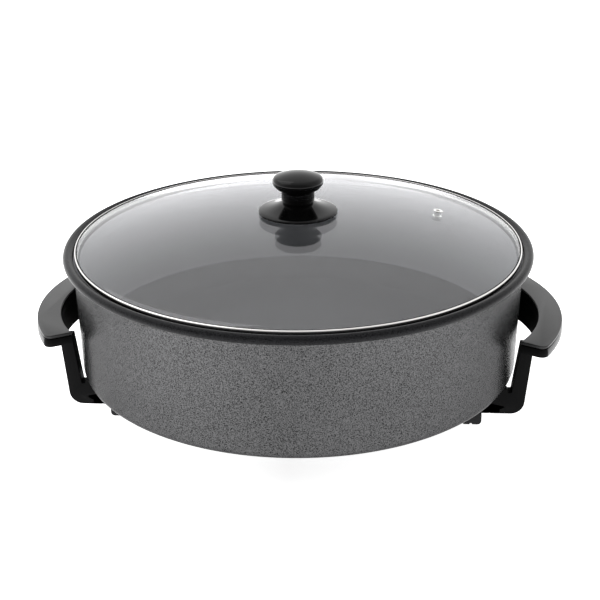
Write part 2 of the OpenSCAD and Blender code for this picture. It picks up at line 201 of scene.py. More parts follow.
def nonStickCoatAndSheen(name, look):  # satin coat, black below with faint rings inside, made pale up the wall by a painted reflection
    material, graph = newMaterial(name)
    place = objectPlace(graph)
    flat = graph.node("ShaderNodeVectorMath", {"operation": "MULTIPLY"},
                      {0: place, 1: (1, 1, 0)})
    radius = graph.node("ShaderNodeVectorMath", {"operation": "LENGTH"}, {0: flat}).out("Value")
    height = graph.node("ShaderNodeSeparateXYZ", {}, {0: place}).out("Z")
    fleck = noise(graph, place, look["fleckScale"], 2, 0.7)
    cloud = noise(graph, place, look["cloudScale"], 3)
    rings = graph.node("ShaderNodeMath", {"operation": "SINE"}, {0: radius * look["ringTurns"]})
    foot = look["floorZ"] * mm
    onFloor = 1 - height.step(foot + 1 * mm, foot + 4 * mm)
    middle = (1 - radius.step((look["ring"] - 2) * mm, look["ring"] * mm)) * onFloor
    # painted reflection: the wall is painted pale in two steps above the floor, in place of the
    # bright surroundings it reflects
    paintedSheenFoot = foot + look["paintedSheenFrom"] * mm
    paintedSheenEdge = paintedSheenFoot + look["paintedSheenEdge"] * mm
    paintedSheen = (height.step(paintedSheenFoot, paintedSheenEdge) * look["paintedSheenFirst"]
              + height.step(paintedSheenEdge, paintedSheenFoot + look["paintedSheenRise"] * mm) * look["paintedSheenLast"])
    mask = cloud * look["cloud"] + middle * look["middle"] + paintedSheen
    shader = graph.node("ShaderNodeBsdfPrincipled", {}, {
        "Base Color": tones(graph, mask, look["dark"], look["light"], cool),
        "Roughness": look["rough"] + (cloud - 0.5) * look["cloudRough"],
        "Specular IOR Level": look["shine"],
        "Normal": bump(graph, fleck + rings * onFloor * 0.3, look["bump"], look["bumpDepth"]),
    })
    close(graph, shader)
    return material


staining = {"rough": 0.2, "bumpDepth": 0.08}


def turnedMetal(name, look):  # metal with fine lines or grain, and a little staining
    material, graph = newMaterial(name)
    place = objectPlace(graph)
    stretch = graph.node("ShaderNodeVectorMath", {"operation": "MULTIPLY"},
                         {0: place, 1: look["lines"]})
    lines = noise(graph, stretch, look["lineScale"], 3, 0.6)
    cloud = noise(graph, place, look["cloudScale"], 3)
    mask = lines * 0.5 + cloud * 0.5
    shader = graph.node("ShaderNodeBsdfPrincipled", {}, {
        "Base Color": tones(graph, mask, look["dark"], look["light"], look["tint"]),
        "Metallic": look["metal"],
        "Roughness": look["rough"] + (mask - 0.5) * staining["rough"],
        "Normal": bump(graph, lines, look["depth"], staining["bumpDepth"]),
    })
    close(graph, shader)
    return material


def clearGlass(name, look):  # clear at the front, mirror-like at a low angle
    material, graph = newMaterial(name)
    place = objectPlace(graph)
    facing = graph.node("ShaderNodeLayerWeight", {}, {"Blend": 0.5}).out("Facing")
    smear = noise(graph, place, look["smearScale"], 3)
    shine = look["face"] + (1 - look["face"]) * facing ** look["edgePower"]
    clear = graph.node("ShaderNodeBsdfTransparent", {}, {"Color": look["tint"]})
    mirror = graph.node("ShaderNodeBsdfGlossy", {}, {
        "Color": look["mirror"], "Roughness": look["rough"],
        "Normal": bump(graph, smear, look["bump"], look["bumpDepth"])})
    uneven = 1 - look["smear"] / 2 + smear * look["smear"]
    mixed = graph.node("ShaderNodeMixShader", {}, {0: shine * uneven, 1: clear, 2: mirror})
    close(graph, mixed)
    return material


plasticLooks = {
    "gripPlastic": {"dark": 0.006, "light": 0.012, "rough": 0.34, "shine": 0.4,
                    "grainScale": 2400, "grainStrength": 0.35},
    "legPlastic": {"dark": 0.002, "light": 0.004, "rough": 0.5, "shine": 0.05,
                   "grainScale": 1800, "grainStrength": 0.3},
    "knobPlastic": {"dark": 0.001, "light": 0.002, "rough": 0.08, "shine": 0.17,
                    "grainScale": 900, "grainStrength": 0.04},
    # near black and almost unreflecting: painted shade for the lid's recess in the pan and the
    # grips' inner and lower faces
    "shadePlastic": {"dark": 0.0006, "light": 0.0014, "rough": 0.7, "shine": 0.02,
                     "grainScale": 1800, "grainStrength": 0.2},
    "padRubber": {"dark": 0.012, "light": 0.022, "rough": 0.75, "shine": 0.2,
                  "grainScale": 1500, "grainStrength": 0.6},
    "gasketRubber": {"dark": 0.35, "light": 0.45, "rough": 0.6, "shine": 0.3,
                     "grainScale": 1200, "grainStrength": 0.2},
    # black for the painted shadow line inside the lid band
    "sealBlack": {"dark": 0.004, "light": 0.008, "rough": 0.6, "shine": 0.1,
                  "grainScale": 1200, "grainStrength": 0.2},
    "beadCeramic": {"dark": 0.62, "light": 0.75, "rough": 0.45, "shine": 0.5,
                    "grainScale": 1500, "grainStrength": 0.2},
}
metalLooks = {
    "brightSteel": {"dark": 0.72, "light": 0.86, "tint": (1, 0.985, 0.965), "metal": 1.0,
                    "rough": 0.16, "lines": (1, 1, 30), "lineScale": 90, "cloudScale": 20,
                    "depth": 0.06},
    "platedSteel": {"dark": 0.5, "light": 0.66, "tint": (1, 0.99, 0.95), "metal": 1.0,
                    "rough": 0.3, "lines": (1, 1, 1), "lineScale": 500, "cloudScale": 60,
                    "depth": 0.12},
    "sheetSteel": {"dark": 0.42, "light": 0.58, "tint": (1, 1, 1), "metal": 1.0, "rough": 0.34,
                   "lines": (1, 14, 14), "lineScale": 60, "cloudScale": 25, "depth": 0.12},
    "castAluminium": {"dark": 0.4, "light": 0.55, "tint": (1, 1, 1.01), "metal": 1.0,
                      "rough": 0.48, "lines": (1, 1, 1), "lineScale": 700, "cloudScale": 30,
                      "depth": 0.5},
    "elementSheath": {"dark": 0.05, "light": 0.1, "tint": (0.9, 1, 0.97), "metal": 0.7,
                      "rough": 0.42, "lines": (1, 1, 1), "lineScale": 800, "cloudScale": 40,
                      "depth": 0.25},
    "contactBrass": {"dark": 0.55, "light": 0.7, "tint": (1, 0.78, 0.42), "metal": 1.0,
                     "rough": 0.26, "lines": (20, 1, 1), "lineScale": 120, "cloudScale": 80,
                     "depth": 0.1},
}
paintLooks = {
    "wallPaint": {"dark": 0.002, "light": 0.108, "tint": (1, 1, 1.02), "metal": 0.85,
                  "rough": 0.19, "shine": 0.3, "edge": 0.42, "depth": 0.28},
    "rimPaint": {"dark": 0.001, "light": 0.016, "tint": (0.97, 0.97, 1.06), "metal": 0.1,
                 "rough": 0.3, "shine": 0.14, "edge": 0.4, "depth": 0.14},
}
finishes = {name: mouldedPlastic(name, look) for name, look in plasticLooks.items()}
finishes.update({name: turnedMetal(name, look) for name, look in metalLooks.items()})
finishes.update({name: hammeredPaint(name, look) for name, look in paintLooks.items()})
# the pale tone and the numbers for the rise up the wall set a painted reflection, not the coat's
# own colour
finishes["nonStick"] = nonStickCoatAndSheen("nonStick", {
    "dark": 0.003, "light": 0.27, "rough": 0.4, "shine": 0.05, "floorZ": 38.5, "ring": 118,
    "paintedSheenFrom": 16, "paintedSheenEdge": 3, "paintedSheenRise": 55, "paintedSheenFirst": 0.68, "paintedSheenLast": 0.25,
    "cloudScale": 18, "cloud": 0.06, "cloudRough": 0.1, "middle": 0.03, "fleckScale": 900,
    "ringTurns": 2600, "bump": 0.03, "bumpDepth": 0.05})
finishes["lidGlass"] = clearGlass("lidGlass", {
    "face": 0.068, "edgePower": 6.4, "tint": (0.97, 0.98, 0.975, 1),
    "mirror": (0.98, 0.975, 1.0, 1), "rough": 0.015, "smearScale": 9, "smear": 0.06,
    "bump": 0.02, "bumpDepth": 0.4})
print("materials made:", len(finishes))


def newTree(name, inputs):
    tree = bpy.data.node_groups.new(name, "GeometryNodeTree")
    tree.interface.new_socket(name="Geometry", in_out="INPUT", socket_type="NodeSocketGeometry")
    for label, kind in inputs:
        tree.interface.new_socket(name=label, in_out="INPUT", socket_type=kind)
    tree.interface.new_socket(name="Geometry", in_out="OUTPUT", socket_type="NodeSocketGeometry")
    graph = Graph(tree)
    return tree, graph, graph.node("NodeGroupInput")


def finishTree(graph, given, shape):
    real = graph.node("GeometryNodeRealizeInstances", {}, {"Geometry": shape})
    dressed = graph.node("GeometryNodeSetMaterial", {},
                         {"Geometry": real, "Material": given.out("Finish")})
    graph.node("NodeGroupOutput", {}, {"Geometry": dressed})


def turningTree():  # turns an outline in XZ round the Z axis
    tree, graph, given = newTree("turning", [
        ("Segments", "NodeSocketInt"), ("Weld", "NodeSocketFloat"),
        ("Finish", "NodeSocketMaterial")])
    outline, segments = given.out("Geometry"), given.out("Segments")
    count = graph.node("GeometryNodeAttributeDomainSize", {}, {"Geometry": outline})
    grid = graph.node("GeometryNodeMeshGrid", {},
                      {"Vertices X": segments + 1, "Vertices Y": count.out("Point Count")})
    index = graph.node("GeometryNodeInputIndex")
    points = count.out("Point Count")
    turn = ((index + 0.5) / points).floor()
    row = index - turn * points
    sampled = graph.node("GeometryNodeSampleIndex", {"data_type": "FLOAT_VECTOR"}, {
        "Geometry": outline, "Value": graph.node("GeometryNodeInputPosition"), "Index": row})
    swung = graph.node("ShaderNodeVectorRotate", {"rotation_type": "Z_AXIS"},
                       {"Vector": sampled, "Angle": turn / segments * (2 * math.pi)})
    shape = graph.node("GeometryNodeSetPosition", {},
                       {"Geometry": grid.out("Mesh"), "Position": swung})
    welded = graph.node("GeometryNodeMergeByDistance", {},
                        {"Geometry": shape, "Distance": given.out("Weld")})
    finishTree(graph, given, welded)
    return tree


def tubeTree():  # a round tube along a line of points
    tree, graph, given = newTree("tube", [
        ("Radius", "NodeSocketFloat"), ("Sides", "NodeSocketInt"),
        ("Finish", "NodeSocketMaterial")])
    path = graph.node("GeometryNodeMeshToCurve", {}, {"Mesh": given.out("Geometry")})
    section = graph.node("GeometryNodeCurvePrimitiveCircle", {},
                         {"Resolution": given.out("Sides"), "Radius": given.out("Radius")})
    tube = graph.node("GeometryNodeCurveToMesh", {}, {
        "Curve": path, "Profile Curve": section, "Fill Caps": True})
    finishTree(graph, given, tube)
    return tree


def setTree():  # the same shape at each point, all turned the same way
    tree, graph, given = newTree("set", [
        ("Shape", "NodeSocketObject"), ("Turn", "NodeSocketVector"),
        ("Finish", "NodeSocketMaterial")])
    shape = graph.node("GeometryNodeObjectInfo", {}, {"Object": given.out("Shape")})
    placed = graph.node("GeometryNodeInstanceOnPoints", {}, {
        "Points": given.out("Geometry"), "Instance": shape.out("Geometry"),
        "Rotation": given.out("Turn")})
    finishTree(graph, given, placed)
    return tree


trees = {"turning": turningTree(), "tube": tubeTree(), "set": setTree()}


def shade(piece, angle=35):  # smooth, with edges sharper than angle left crisp
    piece.data.shade_smooth()
    piece.data.set_sharp_from_angle(angle=math.radians(angle))
    return piece


def newPiece(name, points, edges=(), faces=(), finish=None):
    mesh = bpy.data.meshes.new(name)
    mesh.from_pydata([tuple(c * mm for c in point) for point in points], edges, faces)
    piece = bpy.data.objects.new(name, mesh)
    bpy.context.scene.collection.objects.link(piece)
    if finish:
        mesh.materials.append(finishes[finish])
    return piece


def applied(piece):  # the piece with its modifiers made into a plain mesh
    graph = bpy.context.evaluated_depsgraph_get()
    made = bpy.data.meshes.new_from_object(piece.evaluated_get(graph))
    piece.modifiers.clear()
    made.name = piece.name
    piece.data = made
    return piece


def grown(piece, treeName, inputs):
    tree = trees[treeName]
    modifier = piece.modifiers.new(treeName, "NODES")
    modifier.node_group = tree
    for item in tree.interface.items_tree:
        if item.in_out == "INPUT" and item.name in inputs:
            modifier[item.identifier] = inputs[item.name]
    applied(piece)
    piece.data.materials.clear()
    piece.data.materials.append(inputs["Finish"])
    for face in piece.data.polygons:
        face.material_index = 0
    return piece


def rounded(corners, closed=False, steps=6):  # corners are (x, z) or (x, z, radius)
    points = []
    for i, corner in enumerate(corners):
        at = Vector(corner[:2])
        isEnd = not closed and i in (0, len(corners) - 1)
        if len(corner) < 3 or isEnd:
            points.append(tuple(at))
            continue
        back = (Vector(corners[i - 1][:2]) - at).normalized()
        ahead = (Vector(corners[(i + 1) % len(corners)][:2]) - at).normalized()
        half = back.angle(ahead) / 2
        centre = at + (back + ahead).normalized() * (corner[2] / math.sin(half))
        start = at + back * (corner[2] / math.tan(half)) - centre
        end = at + ahead * (corner[2] / math.tan(half)) - centre
        first = math.atan2(start.y, start.x)
        turn = (math.atan2(end.y, end.x) - first + math.pi) % (2 * math.pi) - math.pi
        count = max(2, math.ceil(abs(turn) / (math.pi / 2) * steps))
        for k in range(count + 1):
            a = first + turn * k / count
            points.append((centre.x + corner[2] * math.cos(a), centre.y + corner[2] * math.sin(a)))
    return points


def arcPoints(centre, radius, start, end, count):  # angles in degrees
    return [(centre[0] + radius * math.cos(math.radians(start + (end - start) * i / count)),
             centre[1] + radius * math.sin(math.radians(start + (end - start) * i / count)))
            for i in range(count + 1)]


def turned(name, outline, segments, finish, closed=False, angle=35):
    points = list(outline) + ([outline[0]] if closed else [])
    edges = [(i, i + 1) for i in range(len(points) - 1)]
    piece = newPiece(name, [(x, 0, z) for x, z in points], edges)
    grown(piece, "turning", {"Segments": segments, "Weld": weld, "Finish": finishes[finish]})
    return shade(piece, angle)


def prism(name, outline, low, high, finish, bevel=0.0, axis="Y"):  # outline stretched along an axis
    count = len(outline)
    points = []
    for level in (low, high):
        points += [(x, level, z) if axis == "Y" else (x, z, level) for x, z in outline]
    faces = [tuple(range(count)), tuple(range(2 * count - 1, count - 1, -1))]
    faces += [(i, i + count, (i + 1) % count + count, (i + 1) % count) for i in range(count)]
    piece = newPiece(name, points, (), faces, finish)
    fixNormals(piece)
    if bevel:
        modifier = piece.modifiers.new("edges", "BEVEL")
        modifier.width, modifier.segments = bevel * mm, 3
        modifier.limit_method, modifier.angle_limit = "ANGLE", math.radians(50)
        applied(piece)
    return piece


def fixNormals(piece):
    made = bmesh.new()
    made.from_mesh(piece.data)
    bmesh.ops.remove_doubles(made, verts=made.verts, dist=weld)
    bmesh.ops.recalc_face_normals(made, faces=made.faces)
    made.to_mesh(piece.data)
    made.free()
    return piece


def cut(piece, *cutters):
    for cutter in cutters:
        modifier = piece.modifiers.new("cut", "BOOLEAN")
        modifier.operation, modifier.solver, modifier.object = "DIFFERENCE", "EXACT", cutter
    applied(piece)
    for cutter in cutters:
        bpy.data.objects.remove(cutter)
    return piece


def joined(name, pieces):
    made = bmesh.new()
    for piece in pieces:
        made.from_mesh(piece.data)
    first = pieces[0]
    made.to_mesh(first.data)
    made.free()
    first.name = first.data.name = name
    for piece in pieces[1:]:
        bpy.data.objects.remove(piece)
    return first


def mirrored(piece, name, x=1, y=1):
    copy = piece.copy()
    copy.data = piece.data.copy()
    copy.name = copy.data.name = name
    bpy.context.scene.collection.objects.link(copy)
    copy.data.transform(Matrix.Diagonal((x, y, 1, 1)))
    if x * y < 0:
        copy.data.flip_normals()
    return copy


def hand(piece, body, slot, *nodes):  # the piece moves with body and stands for these parts
    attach(piece, body)
    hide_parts(*nodes)
    return piece


def repeated(name, shape, places, turn, finish):
    piece = newPiece(name, places)
    grown(piece, "set", {"Shape": shape, "Turn": turn, "Finish": finishes[finish]})
    bpy.data.objects.remove(shape)
    return shade(piece)


# Pan: one outline from the middle of the underside, round the rim and back to the middle inside
pan = {"rimRadius": 210, "beadRadius": 3.95, "beadZ": 144.85, "slope": 30, "wallTop": 201.3,
       "wallFoot": 199.4, "metal": 3, "underside": 35.5, "floor": 38.5, "ledge": 144.1,
       "recessEdge": 145.9, "cornerRound": 8, "floorRound": 24, "ringRadius": 118,
       "ringStep": 0.25, "ringSlope": 0.8, "ringRound": 0.3, "stepRound": 0.5, "edgeRound": 0.6,
       "lipRound": 0.8, "rows": (60, 150), "segments": 288}


def panOutline():
    beadX = pan["rimRadius"] - pan["beadRadius"]
    slopeX = beadX - pan["beadRadius"] * math.sin(math.radians(pan["slope"]))
    slopeZ = pan["beadZ"] + pan["beadRadius"] * math.cos(math.radians(pan["slope"]))
    edgeZ = slopeZ - (slopeX - pan["wallTop"]) * math.tan(math.radians(pan["slope"]))
    rimUnder = pan["beadZ"] - pan["beadRadius"]
    rows = [(row, pan["underside"]) for row in (0, *pan["rows"])]
    below = rounded(rows + [(pan["wallFoot"], pan["underside"], pan["cornerRound"]),
                            (pan["wallTop"], rimUnder, pan["edgeRound"]),
                            (beadX, rimUnder)], steps=8)
    bead = arcPoints((beadX, pan["beadZ"]), pan["beadRadius"], -90, 90 + pan["slope"], 20)
    inner = pan["wallTop"] - pan["metal"]
    ring, ringTop = pan["ringRadius"], pan["floor"] + pan["ringStep"]
    inside = rounded([(slopeX, slopeZ), (pan["wallTop"], edgeZ, pan["lipRound"]),
                      (pan["wallTop"], pan["ledge"], pan["stepRound"]),
                      (inner, pan["ledge"], pan["edgeRound"]),
                      (pan["wallFoot"] - pan["metal"], pan["floor"], pan["floorRound"]),
                      (ring + pan["ringSlope"], pan["floor"], pan["ringRound"]),
                      (ring, ringTop, pan["ringRound"]), (ring / 2, ringTop), (0, ringTop)],
                     steps=12)
    return below[:-1] + bead + inside[1:]


panPiece = turned("pan", panOutline(), pan["segments"], "wallPaint")
for finish in ("rimPaint", "nonStick", "shadePlastic"):
    panPiece.data.materials.append(finishes[finish])
for face in panPiece.data.polygons:  # wall 0, rim 1, coat 2, sides of the lid's recess 3 in painted shade, near black
    radius, height = face.center.xy.length / mm, face.center.z / mm
    isInside = radius < pan["wallTop"] - 0.3 and face.normal.dot(
        Vector((-face.center.x, -face.center.y, 0.0)).normalized() + Vector((0, 0, 0.6))) > 0.2
    isRim = height > pan["beadZ"] - pan["beadRadius"] - 0.05 and radius > pan["wallTop"] - 0.35
    isRecess = isRim and radius < pan["wallTop"] + 0.05 and height < pan["recessEdge"]
    isCoat = isInside and height > pan["floor"] - 1
    face.material_index = 3 if isRecess else 1 if isRim else 2 if isCoat else 0
hand(panPiece, "pan", "pan_paint", "pan_shell")
print("pan turned:", len(panPiece.data.polygons), "faces")

# Lid: a slice of a large sphere, held in a rolled steel band
lid = {"edgeRadius": 198.6, "edgeTop": 149.0, "apex": 174.8, "thickness": 4, "bore": 2.9,
       "edgeIn": 1.2, "edgeUp": 0.9, "rings": 44, "segments": 256, "ventOut": 133,
       "ventAngle": 17.5, "ventSlack": 0.05}
eyelet = {"hole": 2.2, "tube": 3.0, "flange": 4.6, "foot": -4.9, "footTop": -4.05,
          "glassFoot": -4.02, "glassTop": 0.02, "lip": 0.75, "round": 0.25}
rise = lid["apex"] - lid["edgeTop"]
domeRadius = (lid["edgeRadius"] ** 2 + rise ** 2) / (2 * rise)
domeCentre = lid["apex"] - domeRadius


def domeHeight(radius, depth=0):
    return domeCentre + math.sqrt((domeRadius - depth) ** 2 - radius ** 2)


def glassOutline():
    reach = lid["edgeRadius"] - lid["edgeIn"] - lid["bore"]
    spots = [lid["bore"] + reach * i / lid["rings"] for i in range(lid["rings"] + 1)]
    under = [(r, domeHeight(r, lid["thickness"])) for r in spots]
    over = [(r, domeHeight(r)) for r in reversed(spots)]
    edge = [(lid["edgeRadius"], under[-1][1] + lid["edgeUp"]),
            (lid["edgeRadius"], over[0][1] - lid["edgeIn"])]
    return under + edge + over


ventTilt = math.asin(lid["ventOut"] / domeRadius)
ventPlace = (Matrix.Rotation(math.radians(lid["ventAngle"]), 4, "Z")
             @ Matrix.Translation((0, 0, domeCentre * mm))
             @ Matrix.Rotation(ventTilt, 4, "Y")
             @ Matrix.Translation((0, 0, domeRadius * mm)))
glass = turned("lid_glass_dome", glassOutline(), lid["segments"], "lidGlass", closed=True)
drillRadius = eyelet["tube"] + lid["ventSlack"]
drill = turned("drill", [(0, -9), (drillRadius, -9), (drillRadius, 5), (0, 5)], 48, "lidGlass")
drill.data.transform(ventPlace)
cut(glass, drill)
shade(glass)
hand(glass, "lid", "lid_glass", "lid_glass")

eyeletOutline = rounded([
    (eyelet["hole"], eyelet["foot"]), (eyelet["flange"], eyelet["foot"], eyelet["round"]),
    (eyelet["flange"], eyelet["footTop"], eyelet["round"]), (eyelet["tube"], eyelet["glassFoot"]),
    (eyelet["tube"], eyelet["glassTop"]), (eyelet["flange"], eyelet["glassTop"], 0.2),
    (eyelet["flange"], eyelet["lip"], 0.5), (eyelet["hole"], eyelet["lip"], 0.5)], closed=True)
vent = turned("vent_ring", eyeletOutline, 64, "brightSteel", closed=True)
vent.data.transform(ventPlace)
hand(vent, "lid", "bright_steel", "vent_eyelet")

band = {"outer": 199.9, "top": 149.5, "lipIn": 198.5, "lipUnder": 199.0, "foot": 144.4,
        "sheet": 0.5, "skirtRadius": 196.7, "skirtFoot": 139.9, "shadowBeadWide": 1, "shadowBeadHigh": 0.35,
        "segments": 256}
bandIn, bandUnder = band["outer"] - band["sheet"], band["foot"] + band["sheet"]
bandOutline = rounded([
    (band["skirtRadius"], band["skirtFoot"], 0.2),
    (band["skirtRadius"] + band["sheet"], band["skirtFoot"], 0.2),
    (band["skirtRadius"] + band["sheet"], band["foot"], 0.3), (band["outer"], band["foot"], 0.7),
    (band["outer"], band["top"], 1.1), (band["lipIn"], band["top"] + 0.05, 0.3),
    (band["lipIn"], band["top"] - 0.35, 0.1), (band["lipUnder"], band["top"] - 0.7, 0.2),
    (bandIn, band["top"] - 1.3, 0.3), (bandIn, bandUnder, 0.2),
    (band["skirtRadius"], bandUnder, 0.5)], closed=True, steps=5)
bandPiece = turned("steel_band", bandOutline, band["segments"], "brightSteel", closed=True)
hand(bandPiece, "lid", "bright_steel", "lid_band")
# painted shadow: a thin black bead on the glass just inside the lip stands in for the shade under
# the band's lip
shadowBeadIn, shadowBeadOut = band["lipIn"] - band["shadowBeadWide"], band["lipIn"] + 0.05
shadowBeadOutline = rounded([
    (shadowBeadIn, domeHeight(shadowBeadIn) + 0.02), (shadowBeadOut, domeHeight(shadowBeadOut) - 0.1),
    (shadowBeadOut, domeHeight(shadowBeadOut) + band["shadowBeadHigh"], 0.1),
    (shadowBeadIn, domeHeight(shadowBeadIn) + band["shadowBeadHigh"] - 0.1, 0.15)], closed=True, steps=3)
shadowBead = turned("band_seal", shadowBeadOutline, band["segments"], "sealBlack", closed=True)
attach(shadowBead, "lid")
print("lid made")

# Knob: a mushroom cap on a domed round skirt
knob = {"capFoot": 183.8, "neck": 14.8, "neckFoot": 13.9, "capUnder": 195.6, "capRadius": 22.8,
        "flare": (19.5, 197.6), "brimIn": 1.3, "brimZ": 199.9, "edgeRadius": 5, "edgeStart": -42,
        "capMid": 203.4, "top": 211.8, "bore": 4.05, "boreTop": 198.8, "skirtRadius": 35.5,
        "skirtZ": 174.9, "skirtEdge": 2.6, "shoulderIn": 1.4, "rimWide": 2.5, "rimDeep": 1.1,
        "skirtFull": -0.7, "hillSteps": 8, "hub": 12, "hubZ": 176.0, "hubTop": 178.9,
        "hubBore": 2.9, "segments": 96}


def capOutline():
    edgeX = knob["capRadius"] - knob["edgeRadius"]
    upper = knob["top"] - knob["capMid"]
    crown = (edgeX ** 2 + upper ** 2 - knob["edgeRadius"] ** 2) / (2 * (upper - knob["edgeRadius"]))
    meet = math.degrees(math.atan2(knob["capMid"] - (knob["top"] - crown), edgeX))
    foot = rounded([(knob["bore"], knob["boreTop"]), (knob["bore"], knob["capFoot"], 0.4),
                    (knob["neckFoot"], knob["capFoot"], 0.5), (knob["neck"], knob["capFoot"] + 3),
                    (knob["neck"], knob["capUnder"] - 0.6, 1.6), (*knob["flare"], 0.8),
                    (knob["capRadius"] - knob["brimIn"], knob["brimZ"])], steps=6)
    edge = arcPoints((edgeX, knob["capMid"]), knob["edgeRadius"], knob["edgeStart"], meet, 12)
    dome = arcPoints((0, knob["top"] - crown), crown, meet, 90, 14)
    return [(0, knob["boreTop"])] + foot[:-1] + edge + dome[1:-1] + [(0, knob["top"])]


def skirtOutline():
    inner, outer, edgeZ = knob["neck"] - 0.5, knob["skirtRadius"], knob["skirtZ"]
    rim = outer - knob["rimWide"]
    shoulder = (outer - knob["shoulderIn"], edgeZ + knob["skirtEdge"] + 0.1)
    hill = []
    for i in range(knob["hillSteps"] + 1):  # slightly hollow between the edge and the neck
        t = i / knob["hillSteps"]
        hill.append((shoulder[0] + (inner - shoulder[0]) * t,
                     shoulder[1] + (knob["capFoot"] - shoulder[1]) * t
                     + knob["skirtFull"] * math.sin(math.pi * t)))
    corners = [(knob["hubBore"], knob["hubZ"]), (knob["hub"], knob["hubZ"], 0.4),
               (knob["hub"], knob["hubTop"], 0.6), (rim, edgeZ + knob["rimDeep"], 0.3),
               (rim, edgeZ, 0.2), (outer, edgeZ, 0.5),
               (outer, edgeZ + knob["skirtEdge"] - 0.5, 0.9)]
    return rounded(corners + hill[:2], steps=5)[:-1] + hill[1:] + [
        (knob["hubBore"], knob["capFoot"])]


cap = turned("knob_mushroom", capOutline(), knob["segments"], "knobPlastic")
hand(cap, "lid", "knob_plastic", "knob_cap")
skirt = turned("knob_skirt_disc", skirtOutline(), knob["segments"], "knobPlastic", closed=True)
hand(skirt, "lid", "knob_plastic", "knob_skirt")
print("knob made")

# Grips: stacked outlines; the left one is the mirror image of the right one
legY = 60  # middle of each leg, out from the middle of the pan
grip = {"outerRadius": 156.5, "innerRadius": 121.1, "outerX": 240, "innerX": 219, "reach": 71.6,
        "endSlope": 29, "endRound": 6.5, "top": 84.5, "coverFoot": 81.1, "gapTop": 82.3,
        "gapIn": 1.6, "coverIn": 0.1, "edgeRound": 0.9, "lipFoot": 73.4, "lipTop": 77.4,
        "plate": 78.1, "flare": 0.4, "notchIn": 180, "notchOut": 221, "notchHalf": 6.3,
        "guardZ": 49.9, "guardTop": 80.6, "guardIn": 121.4, "guardThick": 4, "guardY": 53.5,
        "guardRise": 14, "guardTurns": 40, "endY": 66, "shadeZ": 72.5, "sideWide": 3.5}


def gripOutline(inset, innerInset=None):
    innerInset = inset if innerInset is None else innerInset
    slope = math.radians(grip["endSlope"])
    along = Vector((math.cos(slope), math.sin(slope)))
    inward = Vector((math.sin(slope), -math.cos(slope)))
    outerC = Vector((grip["outerX"] - grip["outerRadius"], 0))
    innerC = Vector((grip["innerX"] - grip["innerRadius"], 0))
    tip = innerC + Vector((math.sqrt(grip["innerRadius"] ** 2 - grip["reach"] ** 2), grip["reach"]))
    start = tip - outerC + inward * grip["endRound"]
    reach = grip["outerRadius"] - grip["endRound"]
    b = start.dot(along)
    roundC = outerC + start + along * (-b + math.sqrt(b * b - start.dot(start) + reach ** 2))
    outerA = math.degrees(math.atan2(roundC.y, roundC.x - outerC.x))
    start = tip + inward * inset - innerC
    radius = grip["innerRadius"] + innerInset
    b = start.dot(along)
    edge = innerC + start + along * (-b + math.sqrt(b * b - start.dot(start) + radius ** 2))
    outer = arcPoints(outerC, grip["outerRadius"] - inset, 0, outerA, 20)
    turn = arcPoints(roundC, grip["endRound"] - inset, outerA, 90 + grip["endSlope"], 9)
    last = Vector(turn[-1])
    flat = [tuple(last + (edge - last) * i / 4) for i in range(1, 4)]
    innerA = math.degrees(math.atan2(edge.y, edge.x - innerC.x))
    inner = arcPoints(innerC, radius, innerA, 0, 24)
    half = outer + turn[1:] + flat + inner
    return half + [(x, -y) for x, y in reversed(half[1:-1])]


def stacked(name, levels, finish):  # levels are (outline, z), from the underside up and over
    points, faces = [], []
    for outline, z in levels:
        points += [(x, y, z) for x, y in outline]
    count = len(levels[0][0])
    for level in range(len(levels) - 1):
        a, b = level * count, (level + 1) * count
        faces += [(a + i, a + (i + 1) % count, b + (i + 1) % count, b + i) for i in range(count)]
    faces.append(tuple(range(count - 1, -1, -1)))
    faces.append(tuple(range((len(levels) - 1) * count, len(levels) * count)))
    return fixNormals(newPiece(name, points, (), faces, finish))


def gripCover():
    side, crown = grip["coverIn"], grip["edgeRound"]
    levels = [(gripOutline(grip["gapIn"]), grip["coverFoot"] + 0.02),
              (gripOutline(grip["gapIn"]), grip["gapTop"]),
              (gripOutline(side + 0.3), grip["gapTop"]), (gripOutline(side), grip["gapTop"] + 0.3)]
    for i in range(6):
        a = math.pi / 2 * i / 5
        levels.append((gripOutline(side + crown * (1 - math.cos(a))),
                       grip["top"] - crown + crown * math.sin(a)))
    return shade(stacked("right_cover", levels, "gripPlastic"), 30)


def gripShell():
    flare, lip, lipTop, top = grip["flare"], grip["lipFoot"], grip["lipTop"], grip["coverFoot"]
    steps = [(3.0, 3.0, grip["plate"]), (2.2, 2.8, lip + 0.4), (1.9, 2.5, lip),
             (-flare + 1.2, 0.6, lip), (-flare + 0.4, 0.2, lip + 0.35), (-flare, 0, lip + 1.2),
             (-flare, 0, lipTop), (-flare + 0.15, 0, lipTop + 0.6), (0.1, 0.1, top - 0.9),
             (0.45, 0.4, top - 0.3), (1.0, 0.9, top)]  # inset outside, inset inside, height
    levels = [(gripOutline(inset, inner), z) for inset, inner, z in steps]
    body = stacked("right_body", levels, "gripPlastic")
    notches = []
    for side in (legY, -legY):
        near, far = side - grip["notchHalf"], side + grip["notchHalf"]
        box = [(grip["notchIn"], near), (grip["notchOut"], near), (grip["notchOut"], far),
               (grip["notchIn"], far)]
        notches.append(prism("notch", box, 70, grip["plate"] + 0.01, "gripPlastic", axis="Z"))
    return cut(body, *notches)


